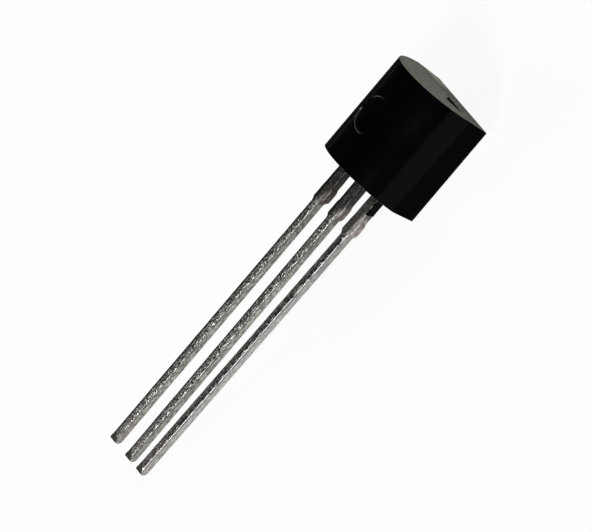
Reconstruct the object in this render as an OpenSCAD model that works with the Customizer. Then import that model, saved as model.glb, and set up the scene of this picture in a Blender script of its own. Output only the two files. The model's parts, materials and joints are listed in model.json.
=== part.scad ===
// A TO-92 transistor: a moulded D-shaped body with three flat leads, lying as it comes to rest.
//
// It is drawn upright first: X runs along the row of leads, +Y points out of the flat face and
// Z is the package's own axis, with the leads downwards. Z = 0 is the middle of the body and
// Y = 0 is the plane where the two halves of the mould meet. lying() then lays it on its flat
// face, where it comes to rest on that face's lower edge and on the ends of the leads.

/* [Moulded body] */
// Height of the body, at its parting line
body_height = 4.63; // [4.2:0.01:5]
// Radius of the round back
back_radius = 2.24; // [2.15:0.01:2.5]
// How far the middle of that round lies in front of the parting plane
back_middle = 0.055; // [0:0.005:0.2]
// Distance from the parting plane to the flat face
flat_depth = 1.24; // [1.1:0.01:1.6]
// Width of the flat face
flat_width = 4.12; // [3.6:0.01:4.3]
// Draft of both ends in front of the parting plane, in degrees
front_draft = 2.5; // [0.5:0.1:5]
// Draft of both ends behind the parting plane, in degrees
back_draft = 1.6; // [0.5:0.1:5]

/* [Marks of the mould] */
// Diameter of the ejector pin's mark on the round back
pin_mark_diameter = 1.6; // [1:0.05:2]
// How deep the ejector pin's mark is sunk
pin_mark_depth = 0.03; // [0.01:0.005:0.1]
// Width of the thin lip round that mark
pin_lip_width = 0.05; // [0.02:0.01:0.1]
// How far that lip stands out of the back
pin_lip_height = 0.02; // [0.005:0.005:0.03]
// Distance from the body's middle to the broad end of the gate's stub
gate_start = 0.82; // [0:0.01:1]
// Length of the gate's stub along the parting line
gate_length = 0.72; // [0.3:0.01:1]
// Width of the gate's stub at its broad end
gate_width = 0.43; // [0.1:0.01:0.5]
// How far the gate's stub stands out of the body's end
gate_height = 0.1; // [0.02:0.01:0.2]
// Thickness of the skin of resin on the emitter lead's side
flash_thickness = 0.04; // [0.02:0.01:0.08]
// How far that skin runs down the lead
flash_length = 0.8; // [0.4:0.05:1.2]

/* [Leads] */
// Distance between neighbouring leads
lead_pitch = 1.27; // [1.2:0.01:1.5]
// Length of the leads outside the body
lead_length = 14.33; // [8:0.01:16]
// Width of a lead
lead_width = 0.41; // [0.35:0.01:0.5]
// Thickness of the sheet that the leads are stamped from
lead_thickness = 0.36; // [0.28:0.01:0.5]
// Radius of a lead's long edges
lead_edge = 0.07; // [0.03:0.01:0.12]
// How far the middle of the leads lies behind the parting plane
lead_setback = 0.15; // [0:0.01:0.4]
// Width of a lead's root, next to the body
root_width = 0.58; // [0.52:0.01:0.62]
// Length of the root outside the body
root_length = 1.22; // [1.2:0.01:2]
// Width of a lead where its tie bar was cut off
tie_width = 0.67; // [0.64:0.01:0.75]
// Length of the stub of the tie bar, along the lead
tie_length = 0.52; // [0.3:0.01:0.8]
// Length of the slope from that stub to the lead
neck_length = 0.22; // [0.1:0.01:0.4]
// How far the base lead leans towards the middle, in degrees
base_lean = -0.2; // [-1.5:0.1:1.5]
// How far the emitter lead leans towards the middle, in degrees
emitter_lean = 1.2; // [-1.5:0.1:1.5]
// Height of the slope that the cut leaves at the ends of the leads, on the flat face's side
tip_slope_height = 0.17; // [0.05:0.01:0.3]
// Depth of that slope
tip_slope_depth = 0.16; // [0.05:0.01:0.18]
// Height of the drawn-in edge at the ends of the leads, on the round back's side
tip_draw_height = 0.22; // [0.05:0.01:0.4]
// Depth of that edge
tip_draw_depth = 0.06; // [0.02:0.01:0.08]

/* [Inside the body] */
// Width of the pad that carries the chip
pad_width = 1.4; // [1.1:0.05:1.5]
// Height of that pad
pad_height = 1.5; // [1.1:0.05:1.8]
// Width of the head of an outer lead
head_width = 0.7; // [0.64:0.02:0.8]
// Height of that head
head_height = 0.8; // [0.5:0.05:1]
// How far the leads run into the body before the pad and the heads begin
anchor_length = 1.6; // [1.2:0.05:1.8]
// Side of the square chip
chip_side = 0.5; // [0.4:0.05:0.8]
// Thickness of the chip
chip_thickness = 0.2; // [0.15:0.01:0.3]
// Thickness of the solder under the chip
solder_thickness = 0.03; // [0.02:0.005:0.05]
// How far the solder reaches past the chip
solder_margin = 0.04; // [0.02:0.01:0.1]
// Diameter of the bond wires
wire_diameter = 0.04; // [0.03:0.005:0.05]
// Radius of the bond wires' bends
wire_bend = 0.1; // [0.06:0.01:0.14]
// How far the bond wires rise over the chip
wire_rise = 0.24; // [0.18:0.01:0.4]
// Diameter of the weld at each end of a bond wire
weld_diameter = 0.1; // [0.08:0.01:0.12]
// Thickness of that weld
weld_thickness = 0.03; // [0.02:0.005:0.04]

/* [Hidden] */

ROUND = 96;        // facets of the round back and of the pin's mark
SMALL_ROUND = 32;  // facets of wires, welds and the leads' edges
LAP = 0.05;        // how far shapes that are one piece run into each other
BEYOND = 1;        // how far a cutting shape runs past what it cuts
BEND_THINNING = 0.95;  // diameter of a wire in its bends, as a share of its own
GATE_LEVEL = 0.4;  // share of the gate's stub that has its full height
GATE_TIP = 0.2;  // width and height of the stub's narrow end, as a share of its broad end's
FLASH_ROOT = 0.2;  // how far the skin of resin on the lead begins inside the body
FLASH_INSET = 0.05;  // how far the skin of resin stays behind the lead's front
FLASH_SLANT = 0.1;  // how much higher the skin of resin ends in front than behind

// The columns of every table below are the base, collector and emitter leads
BASE = 0;
COLLECTOR = 1;
EMITTER = 2;
lead_x = [-lead_pitch, 0, lead_pitch];
lead_turn = [-base_lean, 0, emitter_lean];
// Stamping left the roots and the stubs of the tie bars a little off the leads' own middle
root_offset = [0.005, -0.01, -0.045];
tie_offset = [0.035, 0, -0.02];

// Ends of the body: a ridge at the parting plane, sloping away to both sides
body_top = body_height / 2;
body_bottom = -body_top;
back_depth = back_radius - back_middle;
front_drop = flat_depth * tan(front_draft);
back_drop = back_depth * tan(back_draft);

// Lead frame
lead_front = -lead_setback + lead_thickness / 2;
lead_back = -lead_setback - lead_thickness / 2;
lead_end = body_bottom - lead_length;
anchor_top = body_bottom + anchor_length;

// Chip, its solder and its wires, on the front of the pad
chip_z = anchor_top + pad_height / 2;
solder_front = lead_front + solder_thickness;
chip_front = solder_front + chip_thickness;
wire_height = chip_front + wire_rise;
wire_from = chip_side / 4;
head_z = anchor_top + head_height / 2;

// At rest: the flat face's lower edge and the leads' ends touch the ground
edge_z = body_bottom + front_drop;
heel_z = lead_end + tip_slope_height;
tilt = atan((flat_depth - lead_front) / (edge_z - heel_z));
ground = edge_z * sin(tilt) - flat_depth * cos(tilt);
// The two ends of the whole, along the ground: the gate's stub or the flat face's upper edge,
// and the leads' ends
gate_end = (body_top + gate_height) * cos(tilt);
far_end = max(gate_end, -edge_z * cos(tilt) + flat_depth * sin(tilt));
near_end = lead_end * cos(tilt) + (lead_back + tip_draw_depth) * sin(tilt);

module lying() {
    translate([0, -(far_end + near_end) / 2, -ground]) rotate([tilt - 90, 0, 0]) children();
}

// A flat shape given in Y and Z, with its thickness along X and its middle at X = 0
module side_plate(width) {
    rotate([90, 0, 90]) translate([0, 0, -width / 2]) linear_extrude(width) children();
}

// A flat shape given in X and Z, from one Y to another
module front_plate(from, to) {
    translate([0, to, 0]) rotate([90, 0, 0]) linear_extrude(to - from) children();
}

// ---- Moulded body ----

// Outline of the body, seen from above
module d_outline() {
    translate([0, back_middle]) circle(r = back_radius, $fn = ROUND);
    polygon([[-back_radius, back_middle], [back_radius, back_middle],
             [flat_width / 2, flat_depth], [-flat_width / 2, flat_depth]]);
}

// The D's front half: cuts the round away where the straight sides and the flat are
module front_clip() {
    translate([-2 * back_radius, flat_depth]) square([4 * back_radius, 2 * back_radius]);
    for (side = [-1, 1])
        polygon([[side * back_radius, back_middle],
                 [side * 2 * back_radius, back_middle],
                 [side * 2 * back_radius, flat_depth + BEYOND],
                 [side * flat_width / 2, flat_depth + BEYOND],
                 [side * flat_width / 2, flat_depth]]);
}

// Outline of the body, seen from its side: both ends fall away from the parting plane
module end_profile() {
    polygon([[0, body_top], [-back_depth, body_top - back_drop],
             [-back_depth, back_drop - body_top], [0, -body_top],
             [flat_depth, front_drop - body_top], [flat_depth, body_top - front_drop]]);
}

module package() {
    intersection() {
        translate([0, 0, -body_height]) linear_extrude(2 * body_height)
            difference() { d_outline(); front_clip(); }
        side_plate(4 * back_radius) end_profile();
    }
}

// A cylinder across the round back, in the ejector pin's place
module pin(diameter) {
    rotate([90, 0, 0]) cylinder(h = back_radius + BEYOND, d = diameter, $fn = ROUND);
}

// The round back as a rod of its own, grown or shrunk by a distance
module back_rod(growth, height) {
    translate([0, back_middle, -height / 2])
        cylinder(h = height, r = back_radius + growth, $fn = ROUND);
}

module pin_mark() {
    difference() {
        pin(pin_mark_diameter);
        back_rod(-pin_mark_depth, body_height);
    }
}

module pin_lip() {
    intersection() {
        difference() {
            pin(pin_mark_diameter + 2 * pin_lip_width);
            translate([0, BEYOND, 0]) pin(pin_mark_diameter);
        }
        difference() {
            back_rod(pin_lip_height, body_height);
            back_rod(-LAP, 2 * body_height);
        }
    }
}

// Stub of resin where the gate broke off: a wedge behind the parting line, falling to one side
module gate_stub() {
    gate_tip = gate_start + gate_length;
    stub_top = body_top + gate_height;
    intersection() {
        linear_extrude(stub_top + BEYOND)
            polygon([[gate_start, 0], [gate_tip, 0], [gate_tip, -GATE_TIP * gate_width],
                     [gate_start, -gate_width]]);
        front_plate(-gate_width - BEYOND, BEYOND)
            polygon([[gate_start, body_top - LAP], [gate_start, stub_top],
                     [gate_start + GATE_LEVEL * gate_length, stub_top],
                     [gate_tip, body_top + GATE_TIP * gate_height], [gate_tip, body_top - LAP]]);
    }
}

// Skin of resin that crept down the side of the emitter lead
module flash() {
    outer = root_offset[EMITTER] + root_width / 2 + flash_thickness;
    thickness = LAP + flash_thickness;
    front = lead_front - FLASH_INSET;
    top = body_bottom + FLASH_ROOT;
    bottom = body_bottom - flash_length;
    in_lead(EMITTER) translate([outer - thickness / 2, 0, 0]) side_plate(thickness)
        polygon([[lead_back, top], [front, top], [front, bottom + FLASH_SLANT],
                 [lead_back, bottom]]);
}

module moulded_body() {
    color("#1a1a1a") difference() {
        union() { package(); pin_lip(); gate_stub(); flash(); }
        pin_mark();
        base_lead();
        collector_lead();
        emitter_lead();
        chip_solder();
        chip();
        base_wire();
        emitter_wire();
    }
}

// ---- Leads ----

// Places a lead's outer part: it leans about the point where it leaves the body
module in_lead(lead) {
    translate([lead_x[lead], 0, body_bottom]) rotate([0, lead_turn[lead], 0])
        translate([0, 0, -body_bottom]) children();
}

// Root, stub of the tie bar and neck, as the stamping cut them
module root(lead) {
    tie_top = body_bottom - root_length;
    tie_end = tie_top - tie_length;
    r = [root_offset[lead] - root_width / 2, root_offset[lead] + root_width / 2];
    t = [tie_offset[lead] - tie_width / 2, tie_offset[lead] + tie_width / 2];
    front_plate(lead_back, lead_front)
        polygon([[r[0], anchor_top + LAP], [r[1], anchor_top + LAP], [r[1], tie_top],
                 [t[1], tie_top - LAP], [t[1], tie_end],
                 [lead_width / 2, tie_end - neck_length], [-lead_width / 2, tie_end - neck_length],
                 [t[0], tie_end], [t[0], tie_top - LAP], [r[0], tie_top]]);
}

// Section of a lead, with rounded edges
module section() {
    square([lead_width - 2 * lead_edge, lead_thickness], center = true);
    square([lead_width, lead_thickness - 2 * lead_edge], center = true);
    for (x = [-1, 1], y = [-1, 1])
        translate([x * (lead_width / 2 - lead_edge), y * (lead_thickness / 2 - lead_edge)])
            circle(r = lead_edge, $fn = SMALL_ROUND);
}

module leg() {
    leg_top = body_bottom - root_length - tie_length;
    difference() {
        translate([0, -lead_setback, lead_end]) linear_extrude(leg_top - lead_end) section();
        side_plate(2 * lead_width)
            polygon([[lead_front + BEYOND, lead_end - BEYOND], [lead_front + BEYOND, heel_z],
                     [lead_front, heel_z], [lead_front - tip_slope_depth, lead_end],
                     [lead_front - tip_slope_depth, lead_end - BEYOND]]);
        side_plate(2 * lead_width)
            polygon([[lead_back - BEYOND, lead_end - BEYOND],
                     [lead_back - BEYOND, lead_end + tip_draw_height],
                     [lead_back, lead_end + tip_draw_height], [lead_back + tip_draw_depth, lead_end],
                     [lead_back + tip_draw_depth, lead_end - BEYOND]]);
    }
}

// A lead with the block that ends it inside the body
module lead(which, block_width, block_height) {
    color("#b8b8b4") union() {
        in_lead(which) { root(which); leg(); }
        translate([lead_x[which], 0, 0]) front_plate(lead_back, lead_front)
            translate([-block_width / 2, anchor_top]) square([block_width, block_height]);
    }
}

module base_lead() { lead(BASE, head_width, head_height); }
module collector_lead() { lead(COLLECTOR, pad_width, pad_height); }
module emitter_lead() { lead(EMITTER, head_width, head_height); }

// ---- Chip ----

// A square plate on the middle of the pad, from one Y to another
module pad_plate(side, from, to) {
    front_plate(from, to) translate([0, chip_z]) square(side, center = true);
}

module chip() {
    color("#4c5560") pad_plate(chip_side, solder_front, chip_front);
}

module chip_solder() {
    color("#8f9296") pad_plate(chip_side + 2 * solder_margin, lead_front, solder_front);
}

// ---- Bond wires ----

// A straight stretch of wire or a weld, standing on Y = from
module post(diameter, from, to) {
    translate([0, from, 0]) rotate([-90, 0, 0])
        cylinder(h = to - from, d = diameter, $fn = SMALL_ROUND);
}

// Bending draws the wire a little thinner, so the straight stretches close round its ends
module quarter_bend() {
    rotate_extrude(angle = 90, $fn = SMALL_ROUND) translate([wire_bend, 0])
        circle(d = BEND_THINNING * wire_diameter, $fn = SMALL_ROUND);
}

// A wire from the chip to the head of an outer lead: up, over and down
module wire(towards) {
    span = [towards * (lead_pitch - wire_from), head_z - chip_z];
    run = norm(span);
    bend_y = wire_height - wire_bend;
    lap = wire_bend / 10;
    translate([towards * wire_from, 0, chip_z])
        rotate([0, -atan2(span[1], span[0]), 0]) {
            post(weld_diameter, chip_front, chip_front + weld_thickness);
            post(wire_diameter, chip_front, bend_y + lap);
            translate([wire_bend, bend_y, 0]) rotate([0, 0, 90]) quarter_bend();
            translate([wire_bend - lap, wire_height, 0]) rotate([0, 90, 0])
                cylinder(h = run - 2 * wire_bend + 2 * lap, d = wire_diameter, $fn = SMALL_ROUND);
            translate([run - wire_bend, bend_y, 0]) quarter_bend();
            translate([run, 0, 0]) {
                post(wire_diameter, lead_front, bend_y + lap);
                post(weld_diameter, lead_front, lead_front + weld_thickness);
            }
        }
}

module base_wire() { color("#c8a24a") wire(-1); }
module emitter_wire() { color("#c8a24a") wire(1); }

lying() moulded_body();
lying() base_lead();
lying() collector_lead();
lying() emitter_lead();
lying() chip();
lying() chip_solder();
lying() base_wire();
lying() emitter_wire();
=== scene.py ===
"""Looks of a small moulded transistor that lies on its flat face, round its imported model.

Every piece is modelled upright and in millimetres: X runs along the row of leads, +Y points
out of the flat face, and Z is the package's own axis with the leads downwards. Z = 0 is the
middle of the body and Y = 0 is the plane where the two halves of the mould meet. Rest.lay()
then turns and shrinks the piece to where it lies, in metres.
"""

from __future__ import annotations

import json
import logging
import math
from collections.abc import Callable, Iterator, Sequence
from contextlib import contextmanager
from dataclasses import dataclass
from enum import Enum
from functools import partialmethod

import bmesh
import bpy
from bpy.types import Material, Node, NodeSocket, NodeTree, Object
from mathutils import Matrix, Vector

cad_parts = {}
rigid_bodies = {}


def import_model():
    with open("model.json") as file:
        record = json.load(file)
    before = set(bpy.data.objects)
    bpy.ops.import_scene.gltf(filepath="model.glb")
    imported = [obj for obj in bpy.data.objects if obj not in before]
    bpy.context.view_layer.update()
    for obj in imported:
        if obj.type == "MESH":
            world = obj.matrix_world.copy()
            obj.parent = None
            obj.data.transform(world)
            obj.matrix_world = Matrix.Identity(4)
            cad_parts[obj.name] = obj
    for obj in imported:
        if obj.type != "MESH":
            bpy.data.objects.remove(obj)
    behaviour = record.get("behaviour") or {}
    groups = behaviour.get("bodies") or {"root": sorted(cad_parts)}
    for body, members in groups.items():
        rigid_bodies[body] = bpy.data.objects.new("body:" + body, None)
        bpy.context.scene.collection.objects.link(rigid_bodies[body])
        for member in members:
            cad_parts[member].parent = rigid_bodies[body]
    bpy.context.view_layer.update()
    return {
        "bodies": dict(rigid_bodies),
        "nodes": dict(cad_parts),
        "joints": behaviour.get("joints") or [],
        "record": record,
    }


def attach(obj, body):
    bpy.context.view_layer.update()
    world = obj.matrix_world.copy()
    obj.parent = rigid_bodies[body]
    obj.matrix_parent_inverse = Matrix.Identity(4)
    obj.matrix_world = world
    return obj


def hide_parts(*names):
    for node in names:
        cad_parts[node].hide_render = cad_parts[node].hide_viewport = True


log = logging.getLogger("transistor")

MM = 0.001  # metres in a millimetre
WELD = 1e-5  # millimetres: vertices that lie closer than this are one
NEARLY = 1e-3  # millimetres: places that lie closer than this are at one height
ROUNDING = 1e-6  # what rounding may add to a count
ALONG = 0.99  # a normal with this much along an axis faces that way
Triple = tuple[float, float, float]
Colour = Triple
Span = tuple[float, float]  # from where something begins to where it is complete
Zone = tuple[tuple[str, float, float], ...]  # a region's edges, each a measure and its span


# ---- Hand tools ----


class Join(Enum):
    """What a Boolean modifier does with its tool."""

    ADD = "UNION"
    CUT = "DIFFERENCE"


class Part(Enum):
    """What of a mesh is picked, with the select mode for it."""

    VERTS = "VERT"
    EDGES = "EDGE"
    FACES = "FACE"


def add_object(name: str, data: bpy.types.ID) -> Object:
    """Adds an object to the scene.

    Args:
        name: Its name.
        data: Its mesh, lamp or camera.

    Returns:
        The object.
    """
    made = bpy.data.objects.new(name, data)
    bpy.context.scene.collection.objects.link(made)
    return made


def copy_of(piece: Object, name: str) -> Object:
    """A copy of an object with a mesh of its own, free of parents and properties."""
    return add_object(name, piece.data.copy())


def take(piece: Object) -> None:
    """Selects one object, alone, and makes it the active one.

    Args:
        piece: The object.
    """
    bpy.ops.object.select_all(action="DESELECT")
    piece.select_set(True)
    bpy.context.view_layer.objects.active = piece


def settle(piece: Object) -> None:
    """Applies an object's place, turn and size to its mesh."""
    take(piece)
    bpy.ops.object.transform_apply(location=True, rotation=True, scale=True)


@contextmanager
def editing(piece: Object) -> Iterator[None]:
    """Holds a piece in edit mode, with all of it selected at first.

    Args:
        piece: The mesh object.

    Yields:
        Nothing: the piece is in edit mode inside the block.
    """
    take(piece)
    bpy.ops.object.mode_set(mode="EDIT")
    bpy.ops.mesh.select_mode(type="VERT")
    bpy.ops.mesh.select_all(action="SELECT")
    yield
    bpy.ops.object.mode_set(mode="OBJECT")


def pick(piece: Object, kind: Part, test: Callable[..., bool]) -> None:
    """Selects, in edit mode, the elements that pass a test, and nothing else.

    Args:
        piece: The mesh object in edit mode.
        kind: What to pick.
        test: Gets each element and says whether it is wanted.
    """
    bpy.ops.mesh.select_mode(type=kind.value)
    bpy.ops.mesh.select_all(action="DESELECT")
    mesh = bmesh.from_edit_mesh(piece.data)
    mesh.normal_update()
    for element in getattr(mesh, kind.name.lower()):
        if test(element):
            element.select_set(True)
    mesh.select_flush_mode()
    bmesh.update_edit_mesh(piece.data)


def picked(piece: Object) -> list[Vector]:
    """Places of the selected vertices, in edit mode."""
    return [v.co for v in bmesh.from_edit_mesh(piece.data).verts if v.select]


def slice_off(point: Sequence[float], away: Sequence[float]) -> None:
    """Cuts off, in edit mode, all that lies beyond a plane, and closes the cut.

    Args:
        point: A point on the plane.
        away: The plane's normal, on the side that is cut off.
    """
    bpy.ops.mesh.select_mode(type="VERT")
    bpy.ops.mesh.select_all(action="SELECT")
    bpy.ops.mesh.bisect(plane_co=point, plane_no=away, use_fill=True, clear_outer=True,
                        threshold=WELD)


def push(step: Sequence[float]) -> None:
    """Extrudes the selection, in edit mode, by a step."""
    bpy.ops.mesh.extrude_region_move(TRANSFORM_OT_translate={"value": tuple(step)})


def shift(step: Sequence[float]) -> None:
    """Moves the selection, in edit mode, by a step."""
    bpy.ops.transform.translate(value=tuple(step))


def widen(share: Sequence[float], centre: Sequence[float] = (0, 0, 0)) -> None:
    """Resizes the selection, in edit mode, about a centre."""
    bpy.ops.transform.resize(value=tuple(share), center_override=tuple(centre))


def finish_with(piece: Object, kind: str, **settings: object) -> None:
    """Adds a modifier to a piece and applies it.

    Args:
        piece: The mesh object.
        kind: The modifier's type.
        **settings: Its properties.
    """
    take(piece)
    modifier = piece.modifiers.new(kind.lower(), kind)
    for name, value in settings.items():
        setattr(modifier, name, value)
    bpy.ops.object.modifier_apply(modifier=modifier.name)


def combine(piece: Object, tool: Object, how: Join) -> None:
    """Adds a tool to a piece or cuts it out, and removes the tool."""
    finish_with(piece, "BOOLEAN", operation=how.value, solver="EXACT", object=tool)
    bpy.data.objects.remove(tool)


def close_up(piece: Object, gap: float = WELD) -> Object:
    """Merges a piece's doubles and turns its faces outwards.

    Args:
        piece: The mesh object.
        gap: How far apart doubles may lie.

    Returns:
        The same piece.
    """
    with editing(piece):
        bpy.ops.mesh.remove_doubles(threshold=gap)
        bpy.ops.mesh.normals_make_consistent(inside=False)
    return piece


def brick(low: Sequence[float], high: Sequence[float]) -> Object:
    """A box between two corners, to be shaped further.

    Args:
        low: Its lowest corner.
        high: Its highest corner.

    Returns:
        The mesh object.
    """
    bpy.ops.mesh.primitive_cube_add(size=1)
    piece = bpy.context.object
    with editing(piece):
        widen([b - a for a, b in zip(low, high)])
        shift([(a + b) / 2 for a, b in zip(low, high)])
    return piece


def smooth(piece: Object, angle: float) -> None:
    """Shades a piece smooth, apart from edges sharper than an angle in degrees."""
    take(piece)
    bpy.ops.object.shade_smooth_by_angle(angle=math.radians(angle))


def even_normals(piece: Object) -> None:
    """Lets a piece's large faces lead its shading."""
    finish_with(piece, "WEIGHTED_NORMAL", keep_sharp=True, weight=100)


def wear(piece: Object, material: Material) -> None:
    """Gives a piece its one material."""
    piece.data.materials.clear()
    piece.data.materials.append(material)


def ease(share: float) -> float:
    """Smooth step from 0 to 1."""
    share = min(max(share, 0.0), 1.0)
    return share * share * (3 - 2 * share)


def ladder(low: float, high: float, step: float) -> list[float]:
    """Even steps from low up to, but not with, high, none longer than step."""
    count = max(1, math.ceil((high - low) / step - ROUNDING))
    return [low + (high - low) * i / count for i in range(count)]


# ---- Node trees ----


class Signal:
    """An output of a node. Arithmetic on it adds Math nodes to its graph."""

    def __init__(self, graph: Graph, socket: NodeSocket) -> None:
        """Wraps a socket of a graph."""
        self.graph, self.socket = graph, socket

    def maths(self, operation: str, *others: Value) -> Signal:
        """A Math node's result for this and other numbers."""
        return self.graph.maths(operation, self, *others)

    # For masks, * is where both hold, | is where either holds and ~ is where one doesn't.
    __add__ = partialmethod(maths, "ADD")
    __sub__ = partialmethod(maths, "SUBTRACT")
    __mul__ = partialmethod(maths, "MULTIPLY")
    __truediv__ = partialmethod(maths, "DIVIDE")
    __or__ = partialmethod(maths, "MAXIMUM")
    __abs__ = partialmethod(maths, "ABSOLUTE")

    def __rsub__(self, other: float) -> Signal:
        """A number less this."""
        return self.graph.maths("SUBTRACT", other, self)

    def __rtruediv__(self, other: float) -> Signal:
        """A number divided by this."""
        return self.graph.maths("DIVIDE", other, self)

    def __invert__(self) -> Signal:
        """Where a mask doesn't hold."""
        return 1.0 - self

    def ramp(self, low: Value, high: Value) -> Signal:
        """Smooth step from 0 at low to 1 at high, whichever of them is the greater."""
        return self.graph.result("ShaderNodeMapRange", self, low, high,
                                 interpolation_type="SMOOTHSTEP")

    def mix(self, first: Value, second: Value) -> Signal:
        """The first number where this is 0, the second where it is 1."""
        return self.graph.lerp(self, first, second)

    def moved(self, step: Value) -> Signal:
        """A vector and a step."""
        return self.graph.vectors("ADD", self, step)

    def stretched(self, shares: Value) -> Signal:
        """A vector times a share along each axis."""
        return self.graph.vectors("MULTIPLY", self, shares)

    def split(self) -> list[Signal]:
        """A vector's X, Y and Z, or a colour's red, green and blue."""
        node = self.graph.node("ShaderNodeSeparateXYZ", self)
        return [Signal(self.graph, output) for output in node.outputs]

    def noise(self, scale: Value, detail: float = 2.0, rough: float = 0.5,
              twist: float = 0.0) -> Signal:
        """A noise texture's value at this place.

        Args:
            scale: How many waves it has in a unit.
            detail: How many finer noises are laid over it.
            rough: How strong those are.
            twist: How much it is bent.

        Returns:
            The value, from 0 to 1.
        """
        node = self.graph.fill(self.graph.node("ShaderNodeTexNoise"), {
            "Vector": self, "Scale": scale, "Detail": detail, "Roughness": rough,
            "Distortion": twist})
        return Signal(self.graph, node.outputs[0])

    def cells(self, scale: Value) -> list[Signal]:
        """A cell texture at this place.

        Args:
            scale: How many cells it has in a unit.

        Returns:
            How far the middle of the nearest cell is, and that cell's three chance numbers.
        """
        node = self.graph.fill(self.graph.node("ShaderNodeTexVoronoi"),
                               {"Vector": self, "Scale": scale})
        chance = Signal(self.graph, node.outputs["Color"])
        return [Signal(self.graph, node.outputs["Distance"]), *chance.split()]


Value = Signal | float | Sequence[float] | None


class Graph:
    """Adds nodes to one tree and wires them up."""

    def __init__(self, tree: NodeTree) -> None:
        """Works on an existing tree."""
        self.tree = tree

    def feed(self, socket: NodeSocket, value: Value) -> None:
        """Links a socket to a signal or sets its plain value.

        Args:
            socket: The input.
            value: What it gets; None leaves it as it is.
        """
        if isinstance(value, Signal):
            self.tree.links.new(value.socket, socket)
        elif value is not None:
            solid = socket.type == "RGBA" and len(value) == 3
            socket.default_value = (*value, 1.0) if solid else value

    def fill(self, node: Node, values: dict[str, Value]) -> Node:
        """Feeds a node's inputs by name.

        Args:
            node: The node.
            values: What each of them gets.

        Returns:
            The same node.
        """
        for name, value in values.items():
            self.feed(node.inputs[name], value)
        return node

    def node(self, kind: str, *values: Value, **settings: object) -> Node:
        """Adds a node.

        Args:
            kind: Its type.
            *values: What its inputs get, in their order.
            **settings: Its properties.

        Returns:
            The node.
        """
        made = self.tree.nodes.new(kind)
        for name, setting in settings.items():
            setattr(made, name, setting)
        for socket, value in zip(made.inputs, values):
            self.feed(socket, value)
        return made

    def result(self, kind: str, *values: Value, output: int | str = 0,
               **settings: object) -> Signal:
        """Adds a node, as node() does, and gives one of its outputs."""
        return Signal(self, self.node(kind, *values, **settings).outputs[output])

    def maths(self, operation: str, *values: Value) -> Signal:
        """A Math node's result."""
        return self.result("ShaderNodeMath", *values, operation=operation)

    def vectors(self, operation: str, *values: Value, output: str = "Vector") -> Signal:
        """A Vector Math node's result."""
        return self.result("ShaderNodeVectorMath", *values, operation=operation,
                           output=output)

    def join(self, *values: Value) -> Signal:
        """A vector of three numbers."""
        return self.result("ShaderNodeCombineXYZ", *values)

    def length(self, *values: Value) -> Signal:
        """How long a vector of three numbers is."""
        return self.vectors("LENGTH", self.join(*values), output="Value")

    def lerp(self, share: Value, first: Value, second: Value) -> Signal:
        """Two numbers mixed by a share."""
        return self.result("ShaderNodeMix", share, None, first, second, data_type="FLOAT")

    def paint(self, colour: Colour | Signal, *coats: tuple[Value, Colour | Signal]) -> Signal:
        """Lays coats of colour over each other.

        Args:
            colour: The first one.
            *coats: How much of each further one lies over what is below it, and its colour.

        Returns:
            The colour that is seen.
        """
        unused = [None] * 5
        for share, coat in coats:
            colour = self.result("ShaderNodeMix", share, *unused, colour, coat, output=2,
                                 data_type="RGBA")
        return colour

    def bump(self, height: Signal, depth: float) -> Signal:
        """A normal that follows a height from 0 to 1, which is so many millimetres deep."""
        return self.result("ShaderNodeBump", 1.0, depth * MM, None, height)


# ---- Effects that several finishes share ----


@dataclass(frozen=True)
class Effect:
    """A node group that is built once and placed in each material that needs it."""

    name: str = ""
    inputs: tuple[str, ...] = ("Vector", "Size")
    outputs: tuple[str, ...] = ("Mask",)

    def draw(self, *given: Signal) -> list[Signal]:
        """Draws the group's inside from its inputs and gives its outputs."""
        raise NotImplementedError

    def tree(self) -> NodeTree:
        """The group itself, drawn when it is first asked for.

        Returns:
            The node group.
        """
        if self.name in bpy.data.node_groups:
            return bpy.data.node_groups[self.name]
        tree = bpy.data.node_groups.new(self.name, "ShaderNodeTree")
        for way, names in (("INPUT", self.inputs), ("OUTPUT", self.outputs)):
            for name in names:
                kind = "Vector" if name in ("Vector", "Normal") else "Float"
                tree.interface.new_socket(name, in_out=way, socket_type=f"NodeSocket{kind}")
        graph = Graph(tree)
        given = graph.node("NodeGroupInput").outputs
        graph.node("NodeGroupOutput",
                   *self.draw(*(Signal(graph, given[name]) for name in self.inputs)))
        return tree

    def place(self, at: Signal, **values: Value) -> dict[str, Signal]:
        """Places the group in a material.

        Args:
            at: The place on the piece.
            **values: The group's other inputs.

        Returns:
            Its outputs by name.
        """
        node = at.graph.fill(at.graph.node("ShaderNodeGroup", node_tree=self.tree()),
                             {"Vector": at, **values})
        return {name: Signal(at.graph, node.outputs[name]) for name in self.outputs}


@dataclass(frozen=True)
class Grain(Effect):
    """Fine grain of a moulded or rolled surface."""

    name: str = "fine_grain"
    outputs: tuple[str, ...] = ("Height", "Shade")
    contrast: Span = (0.36, 0.64)

    def draw(self, at: Signal, size: Signal) -> list[Signal]:
        """Noise with finer noise on top."""
        height = at.noise(1.0 / size, detail=4.0, rough=0.6)
        return [height, height.ramp(*self.contrast)]


@dataclass(frozen=True)
class Pebbles(Effect):
    """Close-set rounded grains, each of its own shade, with dark gaps between them."""

    name: str = "plated_pebbles"
    outputs: tuple[str, ...] = ("Height", "Shade")
    dome: Span = (0.62, 0.2)
    shades: Span = (0.1, 0.9)

    def draw(self, at: Signal, size: Signal) -> list[Signal]:
        """Bent cells, bright in their middle.

        Args:
            at: The place.
            size: How large a grain is.

        Returns:
            Height and shade.
        """
        join, bent = at.graph.join, at.noise(1.0 / size, detail=1.0)
        bend = join(bent, bent, bent).stretched(join(size, 0.0, size))
        far, chance, *_ = at.moved(bend).cells(1.0 / size)
        dome = far.ramp(*self.dome)
        return [dome, dome * chance.ramp(*self.shades)]


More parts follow.
